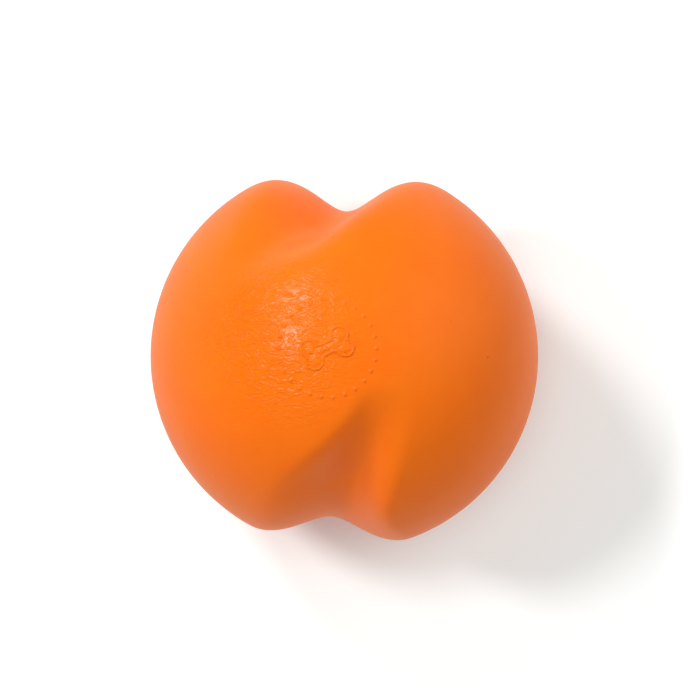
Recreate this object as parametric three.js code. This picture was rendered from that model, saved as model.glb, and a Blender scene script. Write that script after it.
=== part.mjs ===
// Dog chew ball: an orange elastomer ball with two leaning grooves moulded into it.
// A soft cover, made as two half shells, closes over an inner core ball.
// Millimetres, +Z up. The ball stands on the small flat it settles on, with the origin under its middle.
// Seen from above, +X is to the right and +Y is ahead.

import * as THREE from 'three';
import { mergeVertices } from 'three/addons/utils/BufferGeometryUtils.js';

const { clamp, degToRad, lerp, radToDeg, smoothstep } = THREE.MathUtils;

// Driving dimensions of the ball
const BALL_DIAMETER = 82.5;
const REST_DEPTH = 0.4; // how far the soft ball settles where it stands
const REST_MARGIN = 9; // plain band round the rest, in which the grooves fade out
const LEAST_WALL = 9; // cover left between the deepest groove and the core's pocket
const CORE_CLEARANCE = 0.3;

// Driving dimensions of the grooves. Each one crosses the equator at a bearing from +X and climbs
// from there to an end near the pole above, and its lower stretch is the same turned half a turn
// about that crossing. Right and left are as seen from above, looking out along the bearing.
// Depths and half widths are millimetres, angles are degrees on the ball.
const FAR_GROOVE = {
  bearing: 88.6,
  depth: 10.4,
  floorHalfWidth: 2.5, // the level floor, which opens from a round mouth
  mouthHalfWidth: 22.5,
  rightHalfWidth: 19, // from the middle of the floor to the crest of the right wall
  rightEndHalfWidth: 13,
  leftHalfWidth: 16,
  leftEndHalfWidth: 13.5,
  lean: 0.25, // degrees to the left for each degree along
  curl: 0.0022, // lean gained with each degree along
  levelTo: 24, // the floor keeps its depth as far as this
  endsAt: 64,
  rise: 0.75, // power of the floor's rise to its end
};
const NEAR_GROOVE = {
  bearing: 265.4,
  depth: 7,
  floorHalfWidth: 0.1,
  mouthHalfWidth: 18.5,
  rightHalfWidth: 19.2,
  rightEndHalfWidth: 4.1,
  leftHalfWidth: 8.6,
  leftEndHalfWidth: 9.6,
  lean: 0.188,
  curl: -0.0008,
  levelTo: 39.9,
  endsAt: 82.3,
  rise: 0.72,
};
const GROOVES = [FAR_GROOVE, NEAR_GROOVE];

// Facets
const ROUND_STEPS = 88;
const COVER_RINGS = 27; // from the equator to the top, or to the rest's rim
const POCKET_RINGS = 7;
const CORE_STEPS = 32;
const CORE_RINGS = 16;

// Sizes that follow from the driving dimensions
const ballRadius = BALL_DIAMETER / 2;
const deepestGroove = Math.max(...GROOVES.map((groove) => groove.depth));
const pocketRadius = ballRadius - deepestGroove - LEAST_WALL;
const coreRadius = pocketRadius - CORE_CLEARANCE;
const centreHeight = ballRadius - REST_DEPTH;
const restRadius = Math.sqrt(ballRadius ** 2 - centreHeight ** 2);
const quarterTurn = Math.PI / 2;

// Colours and finishes
const coverRubber = new THREE.MeshStandardMaterial({ color: 0xf4761a, roughness: 0.45, metalness: 0 });
const coreFoam = new THREE.MeshStandardMaterial({ color: 0xe9d3ae, roughness: 0.85, metalness: 0 });

// Half width of one side of a groove: it changes from the mouth to the level stretch's end, and
// from there to the groove's own end.
function sideHalfWidth(groove, along, side, end) {
  const level = lerp(groove.mouthHalfWidth, side, smoothstep(along, 0, groove.levelTo));
  return lerp(level, end, smoothstep(along, groove.levelTo, groove.endsAt));
}

// How deep a groove lies under the round ball in one direction from the ball's centre
function grooveDepth(groove, direction) {
  const toward = new THREE.Vector3().copy(direction);
  toward.applyAxisAngle(new THREE.Vector3(0, 0, 1), quarterTurn - degToRad(groove.bearing));
  const climb = radToDeg(Math.atan2(toward.z, toward.y));
  const along = Math.abs(climb);
  const aside = radToDeg(Math.asin(clamp(toward.x, -1, 1))) * (climb < 0 ? -1 : 1);
  const fromFloor = aside + (groove.lean + groove.curl * along) * along; // degrees
  const [side, end] =
    fromFloor > 0
      ? [groove.rightHalfWidth, groove.rightEndHalfWidth]
      : [groove.leftHalfWidth, groove.leftEndHalfWidth];
  const level = groove.floorHalfWidth * smoothstep(along, 0, groove.levelTo);
  const upTheWall = Math.max(0, degToRad(Math.abs(fromFloor)) * ballRadius - level);
  const share = upTheWall / (sideHalfWidth(groove, along, side, end) - level);
  if (share >= 1) return 0;
  const section = (1 + Math.cos(Math.PI * share)) / 2;
  const floor = (1 - smoothstep(along, groove.levelTo, groove.endsAt)) ** groove.rise;
  return groove.depth * floor * section;
}

// Distance from the ball's centre to its outside in one direction
function outsideRadius(direction) {
  const fromAxis = ballRadius * Math.hypot(direction.x, direction.y);
  const downwards = direction.z < 0;
  const plain = downwards ? smoothstep(fromAxis, restRadius, restRadius + REST_MARGIN) : 1;
  const rest = downwards ? centreHeight / -direction.z : Infinity;
  const sunk = GROOVES.reduce((sum, groove) => sum + grooveDepth(groove, direction), 0);
  return Math.min(ballRadius - plain * sunk, rest);
}

// Points of an arc in the half plane (radius, height), from the equator up or down to an angle
function arc(radius, rings, toAngle) {
  return Array.from({ length: rings + 1 }, (_, ring) => {
    const angle = (toAngle * ring) / rings;
    return new THREE.Vector2(Math.max(0, radius * Math.cos(angle)), radius * Math.sin(angle));
  });
}

// Profile of the upper half: down its pocket, out along the seam and up the outside to the top
function upperProfile() {
  const pocket = arc(pocketRadius, POCKET_RINGS, quarterTurn).reverse();
  return [...pocket, ...arc(ballRadius, COVER_RINGS, quarterTurn)];
}

// Profile of the lower half: out along the rest, up the outside, in along the seam and down its pocket
function lowerProfile() {
  const middleOfRest = new THREE.Vector2(0, -centreHeight);
  const outside = arc(ballRadius, COVER_RINGS, -Math.asin(centreHeight / ballRadius)).reverse();
  return [middleOfRest, ...outside, ...arc(pocketRadius, POCKET_RINGS, -quarterTurn)];
}

// One half of the cover: a half shell turned about the upright axis, with its outside sunk
// where the grooves run and its seam left flat on the equator.
function coverHalf(profile) {
  const lathe = new THREE.LatheGeometry(profile, ROUND_STEPS).rotateX(quarterTurn);
  lathe.deleteAttribute('normal');
  lathe.deleteAttribute('uv');
  const shell = mergeVertices(lathe);
  const places = shell.getAttribute('position');
  const midWall = (ballRadius + pocketRadius) / 2;
  const point = new THREE.Vector3();
  for (let index = 0; index < places.count; index += 1) {
    point.fromBufferAttribute(places, index);
    if (point.length() > midWall) point.setLength(outsideRadius(point.clone().normalize()));
    places.setXYZ(index, point.x, point.y, point.z);
  }
  shell.computeVertexNormals();
  return shell;
}

// The core ball, which the two halves close over
function coreBall() {
  return new THREE.SphereGeometry(coreRadius, CORE_STEPS, CORE_RINGS).rotateX(quarterTurn);
}

function piece(name, geometry, material) {
  const mesh = new THREE.Mesh(geometry, material);
  mesh.name = name;
  return mesh;
}

const chewBall = new THREE.Group();
chewBall.position.z = centreHeight;
chewBall.add(
  piece('cover_upper_half', coverHalf(upperProfile()), coverRubber),
  piece('cover_lower_half', coverHalf(lowerProfile()), coverRubber),
  piece('core_ball', coreBall(), coreFoam),
);

export default chewBall;
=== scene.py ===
"""Dog chew ball: the finish of its moulded cover and inner core, and the studio that shows it.

Every object is in metres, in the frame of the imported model: the ball stands on z = 0 with its
middle on the Z axis, +X to the right and +Y ahead as seen from above.
"""

import logging
import math
from dataclasses import dataclass, field
from enum import Enum

import bmesh
import bpy
from mathutils import Euler, Matrix, Vector, noise

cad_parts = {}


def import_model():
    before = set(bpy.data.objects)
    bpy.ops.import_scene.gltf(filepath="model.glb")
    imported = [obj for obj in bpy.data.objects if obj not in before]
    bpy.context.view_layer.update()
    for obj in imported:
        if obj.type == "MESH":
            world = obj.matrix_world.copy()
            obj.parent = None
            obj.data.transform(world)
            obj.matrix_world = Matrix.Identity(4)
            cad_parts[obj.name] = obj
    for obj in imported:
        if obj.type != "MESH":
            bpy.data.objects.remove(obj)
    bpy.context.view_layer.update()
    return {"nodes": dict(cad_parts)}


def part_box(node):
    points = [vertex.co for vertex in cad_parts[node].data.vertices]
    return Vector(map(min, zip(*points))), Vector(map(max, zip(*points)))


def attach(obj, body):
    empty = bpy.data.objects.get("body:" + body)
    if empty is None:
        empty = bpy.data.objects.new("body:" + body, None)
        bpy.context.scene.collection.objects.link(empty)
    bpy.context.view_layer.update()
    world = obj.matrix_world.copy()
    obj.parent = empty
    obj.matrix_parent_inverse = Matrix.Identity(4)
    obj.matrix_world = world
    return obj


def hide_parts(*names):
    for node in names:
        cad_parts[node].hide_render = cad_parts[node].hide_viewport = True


LOG = logging.getLogger("chew_ball")
MM = 0.001
BODY = "root"
CORE_NODE = "core_ball"
QUARTER_TURN = math.pi / 2
SEAM_TOLERANCE = 0.001 * MM
EASING_STEPS = 6
SHARP_FROM = math.radians(50)
# Share of the radius, because cuts leave their new vertices on chords, a little inside the ball
OUTSIDE_FROM = 0.99
NOISE_MIDDLE = 0.5
UP = Vector((0, 0, 1))
# Numbers of a Mix node's colour sockets, because its sockets of other kinds have the same names
MIX_SHARE, MIX_FIRST, MIX_SECOND, MIX_RESULT = 0, 6, 7, 2

Colour = tuple[float, float, float, float]
Triple = tuple[float, float, float]


class Half(Enum):
    """The two halves of the cover, each with the sign of its side of the seam."""

    UPPER = 1
    LOWER = -1

    @property
    def node(self) -> str:
        """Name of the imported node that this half's skin stands for."""
        return f"cover_{self.name.lower()}_half"


class Slot(Enum):
    """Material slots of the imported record."""

    COVER = "cover_rubber"
    CORE = "core_foam"


def smoothstep(value: float, low: float, high: float) -> float:
    """Smooth step from 0 at low to 1 at high.

    Args:
        value: Where the step is read.
        low: Where it starts.
        high: Where it ends.

    Returns:
        A share from 0 to 1.
    """
    share = min(max((value - low) / (high - low), 0.0), 1.0)
    return share * share * (3 - 2 * share)


def lerp(start: float, end: float, share: float) -> float:
    """Straight blend from start to end."""
    return start + (end - start) * share


@dataclass(frozen=True)
class Groove:
    """One leaning groove: it crosses the equator and climbs to an end near the top.

    Its lower stretch is the same, turned half a turn about the crossing. The bearing is from +X,
    and right and left are as seen from above, looking out along it. The lean is degrees to the
    left for each degree along, and the curl is what the lean gains with each. The floor is level
    at first, and then rises to its end by a power. Lengths are metres, angles are degrees on the
    ball. Easing shallows a groove and widens its mouth a little, so these are the sizes before it.
    """

    bearing: float
    depth: float
    floor_half_width: float
    mouth_half_width: float
    right_half_width: float
    right_end_half_width: float
    left_half_width: float
    left_end_half_width: float
    lean: float
    curl: float
    level_to: float
    ends_at: float
    rise: float
    easing: float

    def half_width(self, along: float, wall: float, end: float) -> float:
        """Half width of one wall.

        Args:
            along: Degrees along the groove from the equator.
            wall: The wall's half width at the end of the level stretch.
            end: Its half width at the groove's end.

        Returns:
            The half width there, in metres along the ball.
        """
        level = lerp(self.mouth_half_width, wall, smoothstep(along, 0, self.level_to))
        return lerp(level, end, smoothstep(along, self.level_to, self.ends_at))

    def depth_at(self, direction: Vector, radius: float) -> float:
        """Depth of the groove under the round ball.

        Args:
            direction: Unit vector from the ball's middle.
            radius: The ball's radius.

        Returns:
            The depth in that direction, in metres.
        """
        turn = math.radians(90 - self.bearing)
        ahead = math.sin(turn) * direction.x + math.cos(turn) * direction.y
        right = math.cos(turn) * direction.x - math.sin(turn) * direction.y
        climb = math.degrees(math.atan2(direction.z, ahead))
        along = abs(climb)
        if along >= self.ends_at:
            return 0.0
        aside = math.degrees(math.asin(min(max(right, -1.0), 1.0)))
        from_floor = math.copysign(1.0, climb) * aside + (self.lean + self.curl * along) * along
        if from_floor > 0:
            width = self.half_width(along, self.right_half_width, self.right_end_half_width)
        else:
            width = self.half_width(along, self.left_half_width, self.left_end_half_width)
        floor_width = self.floor_half_width * smoothstep(along, 0, self.level_to)
        off_floor = math.radians(abs(from_floor)) * radius - floor_width
        share = max(off_floor, 0.0) / (width - floor_width)
        if share >= 1:
            return 0.0
        floor = (1 - smoothstep(along, self.level_to, self.ends_at)) ** self.rise
        return self.depth * floor * (1 + math.cos(math.pi * share)) / 2

    def eased_depth(self, direction: Vector, radius: float) -> float:
        """Depth of the groove, eased over a small ring so that its edges run into the ball.

        The ring has no size at the poles themselves, which no groove reaches.

        Args:
            direction: Unit vector from the ball's middle.
            radius: The ball's radius.

        Returns:
            The mean depth there and round it, in metres.
        """
        side = direction.cross(UP).normalized() * (self.easing / radius)
        over = direction.cross(side)
        depths = [self.depth_at(direction, radius)]
        for step in range(EASING_STEPS):
            angle = 2 * math.pi * step / EASING_STEPS
            around = direction + math.cos(angle) * side + math.sin(angle) * over
            depths.append(self.depth_at(around.normalized(), radius))
        return sum(depths) / len(depths)


FAR_GROOVE = Groove(
    bearing=89,
    depth=10.7 * MM,
    floor_half_width=2.5 * MM,
    mouth_half_width=19.8 * MM,
    right_half_width=19 * MM,
    right_end_half_width=13 * MM,
    left_half_width=16 * MM,
    left_end_half_width=13.5 * MM,
    lean=0.25,
    curl=0.0022,
    level_to=24,
    ends_at=64,
    rise=0.75,
    easing=3 * MM,
)
NEAR_GROOVE = Groove(
    bearing=265.4,
    depth=7 * MM,
    floor_half_width=0.1 * MM,
    mouth_half_width=17.8 * MM,
    right_half_width=19.2 * MM,
    right_end_half_width=4.1 * MM,
    left_half_width=8.6 * MM,
    left_end_half_width=9.6 * MM,
    lean=0.188,
    curl=-0.0008,
    level_to=39.9,
    ends_at=82.3,
    rise=0.72,
    easing=1 * MM,
)


@dataclass(frozen=True)
class BallForm:
    """The ball's outside and its pocket, with the sizes that the frame gives."""

    radius: float
    centre_height: float
    pocket_radius: float
    rest_margin: float = 9 * MM
    grooves: tuple[Groove, ...] = (FAR_GROOVE, NEAR_GROOVE)

    @classmethod
    def from_frame(cls, core_clearance: float = 0.3 * MM) -> "BallForm":
        """Reads the ball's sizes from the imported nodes.

        Args:
            core_clearance: Gap between the core and its pocket.

        Returns:
            The form with the frame's radius, centre height and pocket.
        """
        low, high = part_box(Half.UPPER.node)
        core_low, core_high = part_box(CORE_NODE)
        pocket = (core_high.z - core_low.z) / 2 + core_clearance
        return cls(radius=(high.x - low.x) / 2, centre_height=low.z, pocket_radius=pocket)

    @property
    def rest_radius(self) -> float:
        """Radius of the small flat that the ball stands on."""
        return math.sqrt(self.radius**2 - self.centre_height**2)

    def outside(self, direction: Vector) -> float:
        """Distance from the ball's middle to its outside.

        Args:
            direction: Unit vector from the ball's middle.

        Returns:
            The distance in metres, with the grooves and the rest.
        """
        sunk = sum(groove.eased_depth(direction, self.radius) for groove in self.grooves)
        if direction.z >= 0:
            return self.radius - sunk
        from_axis = self.radius * math.hypot(direction.x, direction.y)
        plain = smoothstep(from_axis, self.rest_radius, self.rest_radius + self.rest_margin)
        return min(self.radius - plain * sunk, self.centre_height / -direction.z)


@dataclass(frozen=True)
class BoneMark:
    """Low moulded mark on top of the ball: a plain bone outline in a ring of small pips.

    Lengths are metres, and the mark's plane is the ball's surface laid flat round the top.
    """

    aside: float = -3.6 * MM
    ahead: float = 1.7 * MM
    turn: float = math.radians(24)
    shaft_half_length: float = 3.5 * MM
    shaft_half_width: float = 1.15 * MM
    knob_radius: float = 1.75 * MM
    knob_spread: float = 1.45 * MM
    knob_blend: float = 0.9 * MM
    line_half_width: float = 0.46 * MM
    line_height: float = 0.32 * MM
    field_height: float = 0.3 * MM
    field_rise: float = 1.2 * MM
    ring_radius: float = 10.4 * MM
    pip_count: int = 26
    pip_radius: float = 0.62 * MM
    pip_height: float = 0.3 * MM

    def bone_distance(self, place: Vector) -> float:
        """Signed distance from the bone's outline, below zero inside it.

        Args:
            place: A point on the mark's plane, with the bone along its first axis.

        Returns:
            The distance in metres, blended where the knobs meet the shaft.
        """
        across, up = abs(place.x), abs(place.y)
        shaft = max(across - self.shaft_half_length, up - self.shaft_half_width)
        knob = math.hypot(across - self.shaft_half_length, up - self.knob_spread) - self.knob_radius
        near = max(self.knob_blend - abs(shaft - knob), 0.0) / self.knob_blend
        return min(shaft, knob) - near * near * self.knob_blend / 4

    def height_at(self, direction: Vector, radius: float) -> float:
        """Height of the mark over the ball.

        Args:
            direction: Unit vector from the ball's middle.
            radius: The ball's radius.

        Returns:
            The height in that direction, in metres.
        """
        if direction.z <= 0:
            return 0.0
        from_top = math.atan2(math.hypot(direction.x, direction.y), direction.z) * radius
        flat = Vector((direction.x, direction.y))
        if flat.length:
            flat *= from_top / flat.length
        place = flat - Vector((self.aside, self.ahead))
        if place.length > self.ring_radius + self.pip_radius:
            return 0.0
        return max(self._pip_height(place), self._bone_height(place))

    def _bone_height(self, place: Vector) -> float:
        """Height of the bone's raised line and of the domed field inside it.

        Args:
            place: A point on the mark's plane, from the mark's middle.

        Returns:
            The height there, in metres.
        """
        turned = Vector((
            math.cos(self.turn) * place.x + math.sin(self.turn) * place.y,
            math.cos(self.turn) * place.y - math.sin(self.turn) * place.x,
        ))
        distance = self.bone_distance(turned)
        line = self.line_height * (1 - smoothstep(abs(distance), 0, self.line_half_width))
        dome = self.field_height * (1 - smoothstep(distance, -self.field_rise, 0))
        return max(line, dome)

    def _pip_height(self, place: Vector) -> float:
        """Height of the nearest pip of the ring.

        Args:
            place: A point on the mark's plane, from the mark's middle.

        Returns:
            The height there, in metres.
        """
        step = 2 * math.pi / self.pip_count
        angle = round(math.atan2(place.y, place.x) / step) * step
        middle = Vector((math.cos(angle), math.sin(angle))) * self.ring_radius
        return self.pip_height * (1 - smoothstep((place - middle).length, 0, self.pip_radius))


@dataclass
class NodeSheet:
    """A node tree with short ways to place and join its nodes."""

    tree: bpy.types.NodeTree

    def add(self, kind: str, values: dict | None = None, **settings: object) -> bpy.types.Node:
        """Places a node.

        Args:
            kind: Blender's name of the node's type.
            values: Input sockets by name or number, each with a plain value or an output to join.
            settings: The node's own settings.

        Returns:
            The new node.
        """
        node = self.tree.nodes.new(kind)
        for name, setting in settings.items():
            setattr(node, name, setting)
        self.join(node, values or {})
        return node

    def join(self, node: bpy.types.Node, values: dict) -> None:
        """Sets a node's inputs.

        Args:
            node: The node.
            values: Input sockets by name or number, each with a plain value or an output to join.
        """
        for name, value in values.items():
            if isinstance(value, bpy.types.NodeSocket):
                self.tree.links.new(value, node.inputs[name])
            else:
                node.inputs[name].default_value = value

    def math(self, operation: str, first: object, second: object) -> bpy.types.NodeSocket:
        """Applies one operation to two values, and returns its output."""
        return self.add("ShaderNodeMath", {0: first, 1: second}, operation=operation).outputs[0]

    def mix(self, share: object, first: object, second: object) -> bpy.types.NodeSocket:
        """Blends two colours, and returns the colour's output."""
        values = {MIX_SHARE: share, MIX_FIRST: first, MIX_SECOND: second}
        return self.add("ShaderNodeMix", values, data_type="RGBA").outputs[MIX_RESULT]

    def spread(self, value: object, low: float, high: float) -> bpy.types.NodeSocket:
        """Spreads a value from 0 to 1 over low to high, and returns the result's output."""
        node = self.add("ShaderNodeMapRange", {"Value": value, "To Min": low, "To Max": high})
        return node.outputs["Result"]

    def fade(
        self, value: object, start: float, end: float, first: float, last: float
    ) -> bpy.types.NodeSocket:
        """Fades smoothly between two levels.

        Args:
            value: The value that is read.
            start: Where the fade starts.
            end: Where it ends.
            first: The level up to its start.
            last: The level from its end on.

        Returns:
            The level as an output to join.
        """
        node = self.add("ShaderNodeMapRange", {
            "Value": value, "From Min": start, "From Max": end, "To Min": first, "To Max": last,
        }, interpolation_type="SMOOTHSTEP")
        return node.outputs["Result"]


def new_group(name: str, inputs: dict[str, float | None], outputs: tuple[str, ...]) -> NodeSheet:
    """Makes an empty shader node group.

    Args:
        name: The group's name.
        inputs: Its inputs with their first values, where None is a vector.
        outputs: Its outputs, which are all plain values.

    Returns:
        The sheet of the new group.
    """
    tree = bpy.data.node_groups.new(name, "ShaderNodeTree")
    for label, value in inputs.items():
        kind = "NodeSocketVector" if value is None else "NodeSocketFloat"
        socket = tree.interface.new_socket(label, in_out="INPUT", socket_type=kind)
        if value is not None:
            socket.default_value = value
    for label in outputs:
        tree.interface.new_socket(label, in_out="OUTPUT", socket_type="NodeSocketFloat")
    return NodeSheet(tree)


def new_material(name: str) -> tuple[bpy.types.Material, NodeSheet, bpy.types.Node]:
    """Makes a material with only its shader and output.

    Args:
        name: The material's name.

    Returns:
        The material, the sheet of its nodes and its Principled shader.
    """
    material = bpy.data.materials.new(name)
    material.use_nodes = True
    sheet = NodeSheet(material.node_tree)
    sheet.tree.nodes.clear()
    shader = sheet.add("ShaderNodeBsdfPrincipled")
    sheet.add("ShaderNodeOutputMaterial", {"Surface": shader.outputs["BSDF"]})
    return material, sheet, shader


def millimetres(sheet: NodeSheet) -> bpy.types.NodeSocket:
    """Places nodes that give Object coordinates in millimetres.

    Args:
        sheet: Where they go.

    Returns:
        The coordinates as an output to join.
    """
    place = sheet.add("ShaderNodeTexCoord").outputs["Object"]
    scale = (1 / MM, 1 / MM, 1 / MM)
    return sheet.add("ShaderNodeMapping", {"Vector": place, "Scale": scale}).outputs["Vector"]


@dataclass
class FinishLibrary:
    """Node groups that the finishes share, each built once. Their lengths are millimetres.

    Wrinkles are stretched along the axes, and their width is a share of the noise's height. The
    least speck is a share of the largest, and a speck's core is the share of its radius that is
    full before it fades.
    """

    fold_stretch: Triple = (0.55, 1.3, 1.0)
    fold_width: float = 0.12
    least_speck: float = 0.4
    speck_core: float = 0.5
    skin: bpy.types.NodeTree = field(init=False)
    specks: bpy.types.NodeTree = field(init=False)

    def __post_init__(self) -> None:
        """Builds the groups."""
        self.skin = self._skin_group()
        self.specks = self._speck_group()

    def _skin_group(self) -> bpy.types.NodeTree:
        """Moulded skin: raised wrinkles on warped lines, fine grain, and broad clouds of tone.

        Returns:
            The new group.
        """
        inputs = {"Vector": None, "Wrinkles": 1.0, "Grain": 3.0, "Clouds": 0.1, "Warp": 1.0}
        sheet = new_group("moulded_skin", inputs, ("Wrinkles", "Grain", "Clouds"))
        given = sheet.add("NodeGroupInput").outputs
        clouds = sheet.add("ShaderNodeTexNoise", {
            "Vector": given["Vector"], "Scale": given["Clouds"], "Detail": 3.0, "Roughness": 0.55,
        })
        drift = sheet.add(
            "ShaderNodeVectorMath", {0: clouds.outputs["Color"], "Scale": given["Warp"]},
            operation="SCALE",
        )
        warped = sheet.add("ShaderNodeVectorMath", {0: given["Vector"], 1: drift.outputs[0]})
        drawn = sheet.add(
            "ShaderNodeVectorMath", {0: warped.outputs[0], 1: self.fold_stretch},
            operation="MULTIPLY",
        )
        folds = sheet.add("ShaderNodeTexNoise", {
            "Vector": drawn.outputs[0], "Scale": given["Wrinkles"], "Detail": 2.0,
            "Roughness": 0.5, "Distortion": 0.6,
        })
        off_fold = sheet.add("ShaderNodeMath", {
            0: sheet.math("SUBTRACT", folds.outputs["Fac"], NOISE_MIDDLE),
        }, operation="ABSOLUTE").outputs[0]
        wrinkles = sheet.fade(off_fold, 0.0, self.fold_width, 1.0, 0.0)
        grain = sheet.add("ShaderNodeTexNoise", {
            "Vector": given["Vector"], "Scale": given["Grain"], "Detail": 2.0, "Roughness": 0.6,
        })
        sheet.add("NodeGroupOutput", {
            "Wrinkles": wrinkles, "Grain": grain.outputs["Fac"], "Clouds": clouds.outputs["Fac"],
        })
        return sheet.tree

    def _speck_group(self) -> bpy.types.NodeTree:
        """Scattered specks: one round spot in some of the cells of a loose grid.

        Returns:
            The new group.
        """
        inputs = {"Vector": None, "Cells": 0.2, "Size": 0.2, "Share": 0.3}
        sheet = new_group("scattered_specks", inputs, ("Mask",))
        given = sheet.add("NodeGroupInput").outputs
        cells = sheet.add("ShaderNodeTexVoronoi", {
            "Vector": given["Vector"], "Scale": given["Cells"], "Randomness": 1.0,
        })
        draw = sheet.add("ShaderNodeSeparateColor", {"Color": cells.outputs["Color"]}).outputs
        chosen = sheet.math("LESS_THAN", draw["Red"], given["Share"])
        drawn_size = sheet.spread(draw["Green"], self.least_speck, 1.0)
        reach = sheet.math("MULTIPLY", given["Size"], drawn_size)
        limit = sheet.math("MULTIPLY", reach, given["Cells"])
        inside = sheet.math("DIVIDE", cells.outputs["Distance"], limit)
        spot = sheet.add("ShaderNodeMapRange", {
            "Value": inside, "From Min": self.speck_core, "From Max": 1.0,
            "To Min": 1.0, "To Max": 0.0,
        }).outputs["Result"]
        sheet.add("NodeGroupOutput", {"Mask": sheet.math("MULTIPLY", spot, chosen)})
        return sheet.tree


@dataclass(frozen=True)
class Specks:
    """One scatter of round specks.

    It has a number of cells for each millimetre, the largest speck's radius in millimetres, and
    the share of the cells that hold a speck.
    """

    cells: float
    size: float
    share: float

    def mask(
        self, sheet: NodeSheet, library: FinishLibrary, place: bpy.types.NodeSocket
    ) -> bpy.types.NodeSocket:
        """Places the shared specks.

        Args:
            sheet: Where they go.
            library: The shared node groups.
            place: Coordinates in millimetres.

        Returns:
            The specks' mask as an output to join.
        """
        values = {"Vector": place, "Cells": self.cells, "Size": self.size, "Share": self.share}
        return sheet.add("ShaderNodeGroup", values, node_tree=library.specks).outputs["Mask"]


@dataclass(frozen=True)
class Skin:
    """Sizes of one moulded skin: counts for each millimetre, and a warp in millimetres."""

    wrinkles: float
    grain: float
    clouds: float
    warp: float

    def outputs(
        self, sheet: NodeSheet, library: FinishLibrary, place: bpy.types.NodeSocket
    ) -> bpy.types.NodeOutputs:
        """Places the shared skin.

        Args:
            sheet: Where it goes.
            library: The shared node groups.
            place: Coordinates in millimetres.

        Returns:
            The outputs with its wrinkles, grain and clouds.
        """
        values = {
            "Vector": place, "Wrinkles": self.wrinkles, "Grain": self.grain,
            "Clouds": self.clouds, "Warp": self.warp,
        }
        return sheet.add("ShaderNodeGroup", values, node_tree=library.skin).outputs


@dataclass(frozen=True)
class RubberFinish:
    """Satin orange elastomer with a fine skin, which is wrinkled and shinier round the mark.

    Places and distances on the ball are millimetres, the relief and the glow's scale are metres.
    The grain's height and the pits' depth are shares of the relief. The pits' darker colour is
    painted shade in them.
    """

    name: str = Slot.COVER.value
    deep: Colour = (0.93, 0.16, 0.003, 1.0)
    pale: Colour = (0.95, 0.18, 0.004, 1.0)
    tone_spread: tuple[float, float] = (-0.6, 1.6)
    skin: Skin = Skin(wrinkles=0.62, grain=1.3, clouds=0.07, warp=3.0)
    relief: float = 0.1 * MM
    grain_height: float = 0.35
    pits: Specks = Specks(cells=0.4, size=0.34, share=0.1)
    pit_painted_shade_colour: Colour = (0.42, 0.07, 0.006, 1.0)
    pit_painted_shade_strength: float = 0.55
    pit_depth: float = 0.25
    dust: Specks = Specks(cells=0.4, size=0.26, share=0.07)
    dust_colour: Colour = (0.96, 0.36, 0.1, 1.0)
    dust_strength: float = 0.5
    wrinkled_place: Triple = (-14.0, 4.0, 79.0)
    wrinkled_within: float = 7.5
    wrinkled_to: float = 25.0
    wrinkled_beyond: float = 0.07
    smoothest: float = 0.39
    roughest: float = 0.53
    shinier_by: float = 0.245
    gloss: float = 0.135
    glow: float = 0.1
    glow_reach: Triple = (1.0, 0.3, 0.08)
    glow_scale: float = 2 * MM

    def make(self, library: FinishLibrary) -> bpy.types.Material:
        """Builds the material.

        Args:
            library: The shared node groups.

        Returns:
            The finished material.
        """
        material, sheet, shader = new_material(self.name)
        place = millimetres(sheet)
        skin = self.skin.outputs(sheet, library, place)
        pits = self.pits.mask(sheet, library, place)
        dust = self.dust.mask(sheet, library, place)
        tone = sheet.mix(sheet.spread(skin["Clouds"], *self.tone_spread), self.deep, self.pale)
        # Painted shade: the pits are painted darker, in place of the shade that falls in them.
        pit_shaded = sheet.mix(sheet.math("MULTIPLY", pits, self.pit_painted_shade_strength), tone, self.pit_painted_shade_colour)
        dusted = sheet.mix(
            sheet.math("MULTIPLY", dust, self.dust_strength), pit_shaded, self.dust_colour
        )
        area = self._wrinkled_area(sheet, place)
        rough = sheet.spread(skin["Grain"], self.smoothest, self.roughest)
        rough = sheet.math("SUBTRACT", rough, sheet.math("MULTIPLY", area, self.shinier_by))
        wrinkles = sheet.math("MULTIPLY", skin["Wrinkles"], area)
        grain = sheet.math("MULTIPLY", skin["Grain"], self.grain_height)
        raised = sheet.math("ADD", wrinkles, grain)
        height = sheet.math("SUBTRACT", raised, sheet.math("MULTIPLY", pits, self.pit_depth))
        bump = sheet.add("ShaderNodeBump", {"Height": height, "Distance": self.relief})
        sheet.join(shader, {
            "Base Color": dusted, "Roughness": rough, "Normal": bump.outputs["Normal"],
            "Specular IOR Level": self.gloss, "Subsurface Weight": self.glow,
            "Subsurface Radius": self.glow_reach, "Subsurface Scale": self.glow_scale,
        })
        return material

    def _wrinkled_area(
        self, sheet: NodeSheet, place: bpy.types.NodeSocket
    ) -> bpy.types.NodeSocket:
        """Places nodes that give the share of the wrinkles round their middle.

        Args:
            sheet: Where they go.
            place: Coordinates in millimetres.

        Returns:
            The share as an output to join.
        """
        away = sheet.add(
            "ShaderNodeVectorMath", {0: place, 1: self.wrinkled_place}, operation="DISTANCE"
        ).outputs["Value"]
        return sheet.fade(
            away, self.wrinkled_within, self.wrinkled_to, 1.0, self.wrinkled_beyond
        )


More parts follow.
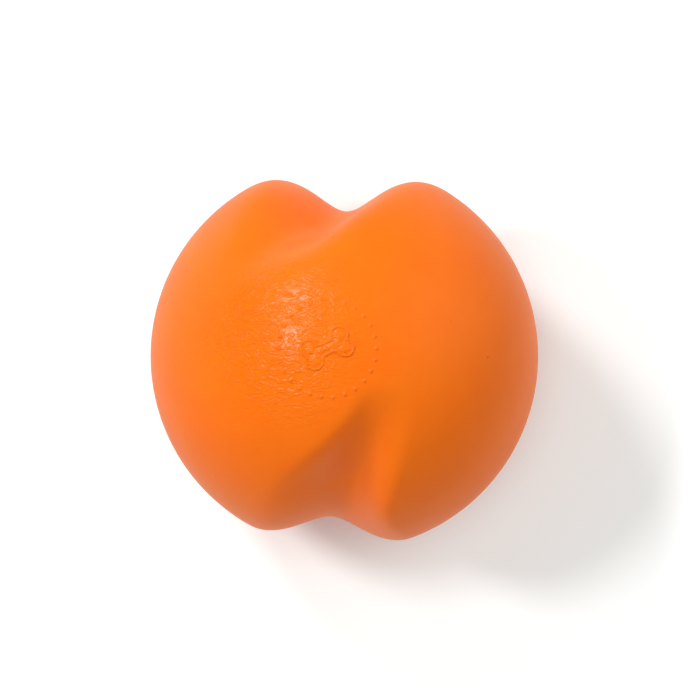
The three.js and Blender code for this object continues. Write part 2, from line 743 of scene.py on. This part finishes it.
@dataclass(frozen=True)
class FoamFinish:
    """Matt foamed elastomer of the core, with open cells. The grain is a share of their depth."""

    name: str = Slot.CORE.value
    body: Colour = (0.81, 0.65, 0.42, 1.0)
    shade: Colour = (0.7, 0.53, 0.32, 1.0)
    skin: Skin = Skin(wrinkles=0.5, grain=2.0, clouds=0.12, warp=1.0)
    cells: Specks = Specks(cells=0.8, size=0.5, share=0.7)
    cell_depth: float = 0.25 * MM
    cell_shade: float = 0.5
    grain_height: float = 0.3
    smoothest: float = 0.75
    roughest: float = 0.95

    def make(self, library: FinishLibrary) -> bpy.types.Material:
        """Builds the material.

        Args:
            library: The shared node groups.

        Returns:
            The finished material.
        """
        material, sheet, shader = new_material(self.name)
        place = millimetres(sheet)
        skin = self.skin.outputs(sheet, library, place)
        cells = self.cells.mask(sheet, library, place)
        tone = sheet.mix(skin["Clouds"], self.shade, self.body)
        colour = sheet.mix(sheet.math("MULTIPLY", cells, self.cell_shade), tone, self.shade)
        rough = sheet.spread(skin["Grain"], self.smoothest, self.roughest)
        grain = sheet.math("MULTIPLY", skin["Grain"], self.grain_height)
        height = sheet.math("SUBTRACT", grain, cells)
        bump = sheet.add("ShaderNodeBump", {"Height": height, "Distance": self.cell_depth})
        sheet.join(shader, {
            "Base Color": colour, "Roughness": rough, "Normal": bump.outputs["Normal"],
        })
        return material


def finished_object(name: str, shape: bmesh.types.BMesh) -> bpy.types.Object:
    """Turns a bmesh into a smooth object at the origin.

    Args:
        name: The object's name.
        shape: The mesh, which is freed.

    Returns:
        The new object, linked to the scene.
    """
    mesh = bpy.data.meshes.new(name)
    for face in shape.faces:
        face.smooth = True
    shape.to_mesh(mesh)
    shape.free()
    mesh.set_sharp_from_angle(angle=SHARP_FROM)
    made = bpy.data.objects.new(name, mesh)
    bpy.context.scene.collection.objects.link(made)
    return made


@dataclass
class CoverHalf:
    """One half of the moulded cover: a closed half shell with grooves, pocket and parting line.

    The pole's share is the spacing of the rings there against even ones. The even band is a share
    of the radius on each side of the seam, over which the unevenness fades in.
    """

    form: BallForm
    half: Half
    rings: int
    mark: BoneMark | None = None
    segments: int = 110
    pocket_rings: int = 3
    cuts: int = 3
    pole_share: float = 1.0
    pole_power: int = 5
    parting_bevel: float = 0.12 * MM
    bevel_steps: int = 2
    unevenness: float = 0.05 * MM
    unevenness_size: float = 9 * MM
    even_band: float = 0.1

    def build(self) -> bpy.types.Object:
        """Models the half shell.

        Returns:
            Its object, with its place in its mesh.
        """
        shell = bmesh.new()
        self._half_sphere(shell, self.form.radius, self.rings)
        self._half_sphere(shell, self.form.pocket_radius, self.pocket_rings)
        bmesh.ops.bridge_loops(shell, edges=[edge for edge in shell.edges if edge.is_boundary])
        bmesh.ops.recalc_face_normals(shell, faces=shell.faces[:])
        bmesh.ops.subdivide_edges(shell, edges=shell.edges[:], cuts=self.cuts, use_grid_fill=True)
        outside = {vertex for vertex in shell.verts if self._is_outside(vertex)}
        rim = [edge for edge in shell.edges if self._is_rim(edge, outside)]
        for vertex in shell.verts:
            self._settle(vertex, vertex in outside)
        bmesh.ops.bevel(
            shell, geom=rim, offset=self.parting_bevel, affect="EDGES",
            segments=self.bevel_steps, profile=0.5, material=-1,
        )
        bmesh.ops.translate(shell, verts=shell.verts[:], vec=(0, 0, self.form.centre_height))
        return finished_object(f"cover_{self.half.name.lower()}_skin", shell)

    def _half_sphere(self, shell: bmesh.types.BMesh, radius: float, rings: int) -> None:
        """Adds half a round ball on this half's side of the seam.

        Args:
            shell: The mesh that it is added to.
            radius: Its radius.
            rings: Its rings from the seam to the pole.
        """
        made = bmesh.ops.create_uvsphere(
            shell, u_segments=self.segments, v_segments=2 * rings, radius=radius
        )["verts"]
        edges = {edge for vertex in made for edge in vertex.link_edges}
        faces = {face for vertex in made for face in vertex.link_faces}
        bmesh.ops.bisect_plane(
            shell, geom=[*made, *edges, *faces], dist=SEAM_TOLERANCE,
            plane_co=(0, 0, 0), plane_no=(0, 0, self.half.value), clear_inner=True,
        )

    def _is_outside(self, vertex: bmesh.types.BMVert) -> bool:
        """Whether a vertex of the round shell lies on its outside."""
        return vertex.co.length > OUTSIDE_FROM * self.form.radius

    def _is_rim(self, edge: bmesh.types.BMEdge, outside: set) -> bool:
        """Whether an edge lies on the outside's edge at the seam."""
        return all(v in outside and abs(v.co.z) < SEAM_TOLERANCE for v in edge.verts)

    def _settle(self, vertex: bmesh.types.BMVert, outside: bool) -> None:
        """Moves one vertex of the round shell to its real place.

        Args:
            vertex: A vertex of the shell. One on the seam's face keeps its share of the wall.
            outside: Whether it lies on the outside, where rings crowd towards the pole.
        """
        on_seam = abs(vertex.co.z) < SEAM_TOLERANCE
        direction = vertex.co.normalized()
        pocket = self.form.pocket_radius
        if outside:
            direction = self._graded(direction, on_seam)
            vertex.co = direction * self._reach(direction)
        elif on_seam:
            share = (vertex.co.length - pocket) / (self.form.radius - pocket)
            vertex.co = direction * lerp(pocket, self._reach(direction), share)
        else:
            vertex.co = direction * pocket

    def _graded(self, direction: Vector, on_seam: bool) -> Vector:
        """Moves a direction towards the pole.

        Args:
            direction: Unit vector from the ball's middle.
            on_seam: Whether it lies on the seam, where it stays.

        Returns:
            The new unit vector.
        """
        flat = direction.xy
        if on_seam or not flat.length:
            return direction
        sign = self.half.value
        share = math.atan2(flat.length, sign * direction.z) / QUARTER_TURN
        graded = self.pole_share * share + (1 - self.pole_share) * share**self.pole_power
        flat = flat.normalized() * math.sin(graded * QUARTER_TURN)
        return Vector((flat.x, flat.y, sign * math.cos(graded * QUARTER_TURN)))

    def _reach(self, direction: Vector) -> float:
        """Distance of the finished outside from the ball's middle.

        Args:
            direction: Unit vector from the ball's middle.

        Returns:
            The distance with the mark and the moulding's slight unevenness, in metres.
        """
        reach = self.form.outside(direction)
        wave = (1 + noise.noise(direction * (self.form.radius / self.unevenness_size))) / 2
        reach -= self.unevenness * wave * smoothstep(abs(direction.z), 0, self.even_band)
        if self.mark:
            reach += self.mark.height_at(direction, self.form.radius)
        if direction.z < 0:
            reach = min(reach, self.form.centre_height / -direction.z)
        return reach


@dataclass
class ChewBall:
    """The whole ball: both halves of its cover and its core."""

    form: BallForm
    nodes: dict[str, bpy.types.Object]
    library: FinishLibrary

    def build(self) -> None:
        """Builds and dresses every piece."""
        rubber = RubberFinish().make(self.library)
        upper = CoverHalf(self.form, Half.UPPER, rings=45, mark=BoneMark(), pole_share=0.45)
        lower = CoverHalf(self.form, Half.LOWER, rings=24)
        for cover in (upper, lower):
            skin = cover.build()
            skin.data.materials.append(rubber)
            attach(skin, BODY)
            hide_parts(cover.half.node)
            LOG.info("%s: %d faces", skin.name, len(skin.data.polygons))
        core = self.nodes[CORE_NODE]
        core.data.materials.clear()
        core.data.materials.append(FoamFinish().make(self.library))
        LOG.info("%s: dressed", core.name)


@dataclass(frozen=True)
class Lamp:
    """A round soft lamp that is aimed at the ball's middle. Angles are degrees, power is watts."""

    name: str
    azimuth: float
    elevation: float
    size: float
    power: float
    mirrored: bool = True
    distance: float = 0.9

    def place(self, middle: Vector) -> None:
        """Hangs the lamp.

        Args:
            middle: The ball's middle.
        """
        light = bpy.data.lights.new(self.name, "AREA")
        light.shape = "DISK"
        light.size = self.size
        light.energy = self.power
        lamp = bpy.data.objects.new(self.name, light)
        turn = Euler((0, -math.radians(self.elevation), math.radians(self.azimuth)))
        toward = Vector((1, 0, 0))
        toward.rotate(turn)
        aim = (-toward).to_track_quat("-Z", "Y").to_matrix().to_4x4()
        lamp.matrix_world = Matrix.Translation(middle + toward * self.distance) @ aim
        lamp.visible_glossy = self.mirrored
        bpy.context.scene.collection.objects.link(lamp)


KEY = Lamp("key", azimuth=160, elevation=57, size=0.16, power=3.1)
SECOND_KEY = Lamp("second_key", azimuth=128, elevation=45, size=0.2, power=3.4)
RIGHT_FILL = Lamp("right_fill", azimuth=25, elevation=28, size=0.9, power=2.8)
NEAR_FILL = Lamp("near_fill", azimuth=258, elevation=20, size=0.9, power=1.2, mirrored=False)


@dataclass
class Studio:
    """Pale floor with a painted shadow round the ball, soft light from the far left, and a camera
    straight above the ball.

    Lengths are metres, but the lens and the sensor are millimetres.
    """

    form: BallForm
    floor_size: float = 3.0
    floor_cells: int = 8
    floor_roughness: float = 0.9
    floor_gloss: float = 0.2
    floor_colour: Colour = (0.82, 0.815, 0.81, 1.0)
    shown_colour: Colour = (1.0, 1.0, 1.0, 1.0)
    floor_lift: float = 0.26
    painted_shadow_core: float = 32 * MM
    painted_shadow_edge: float = 50 * MM
    lift_colour: Colour = (0.77, 0.94, 0.9, 1.0)
    world_colour: Colour = (1.0, 1.0, 1.0, 1.0)
    world_strength: float = 0.34
    lamps: tuple[Lamp, ...] = (KEY, SECOND_KEY, RIGHT_FILL, NEAR_FILL)
    lens: float = 600.0
    sensor: float = 36.0
    frame_width: float = 149 * MM
    frame_aside: float = 1.2 * MM
    frame_ahead: float = 1.3 * MM

    def build(self) -> None:
        """Builds the floor, the lights, the world and the camera."""
        self._floor()
        self._world()
        for lamp in self.lamps:
            lamp.place(Vector((0, 0, self.form.centre_height)))
        self._camera()
        bpy.context.scene.view_settings.view_transform = "Standard"

    def _floor(self) -> None:
        """A large floor, seen and mirrored as white, with a painted shadow under the ball where its
        lift fades out.
        """
        plane = bmesh.new()
        bmesh.ops.create_grid(
            plane, x_segments=self.floor_cells, y_segments=self.floor_cells, size=self.floor_size
        )
        floor = finished_object("floor", plane)
        material, sheet, shader = new_material("pale_floor")
        path = sheet.add("ShaderNodeLightPath").outputs
        colour = sheet.mix(path["Is Camera Ray"], self.floor_colour, self.shown_colour)
        seen = sheet.math("MAXIMUM", path["Is Camera Ray"], path["Is Glossy Ray"])
        shown = sheet.math("MAXIMUM", seen, path["Is Transmission Ray"])
        place = sheet.add("ShaderNodeTexCoord").outputs["Object"]
        away = sheet.add("ShaderNodeVectorMath", {0: place}, operation="LENGTH").outputs["Value"]
        # Painted shadow: the floor's white lift fades to nothing under the ball, which darkens the
        # floor there.
        shadowed_lift = sheet.fade(away, self.painted_shadow_core, self.painted_shadow_edge, 0.0, self.floor_lift)
        sheet.join(shader, {
            "Base Color": colour, "Roughness": self.floor_roughness,
            "Specular IOR Level": self.floor_gloss, "Emission Color": self.lift_colour,
            "Emission Strength": sheet.math("MULTIPLY", shown, shadowed_lift),
        })
        floor.data.materials.append(material)

    def _world(self) -> None:
        """An even white surround."""
        world = bpy.data.worlds.new("white_surround")
        world.use_nodes = True
        sheet = NodeSheet(world.node_tree)
        sheet.tree.nodes.clear()
        path = sheet.add("ShaderNodeLightPath").outputs
        seen = sheet.math("MAXIMUM", path["Is Camera Ray"], path["Is Transmission Ray"])
        strength = sheet.spread(seen, self.world_strength, 1.0)
        surround = sheet.add(
            "ShaderNodeBackground", {"Color": self.world_colour, "Strength": strength}
        )
        sheet.add("ShaderNodeOutputWorld", {"Surface": surround.outputs["Background"]})
        bpy.context.scene.world = world

    def _camera(self) -> None:
        """A long lens straight above, framed as the photograph is."""
        data = bpy.data.cameras.new("overhead")
        data.lens = self.lens
        data.sensor_width = self.sensor
        camera = bpy.data.objects.new("overhead", data)
        distance = self.frame_width * self.lens / self.sensor
        height = self.form.centre_height + distance
        camera.location = (self.frame_aside, self.frame_ahead, height)
        bpy.context.scene.collection.objects.link(camera)
        bpy.context.scene.camera = camera


def main() -> None:
    """Loads the frame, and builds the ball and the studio."""
    logging.basicConfig(level=logging.INFO, format="%(name)s: %(message)s")
    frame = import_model()
    form = BallForm.from_frame()
    ChewBall(form, frame["nodes"], FinishLibrary()).build()
    Studio(form).build()


if __name__ == "__main__":
    main()
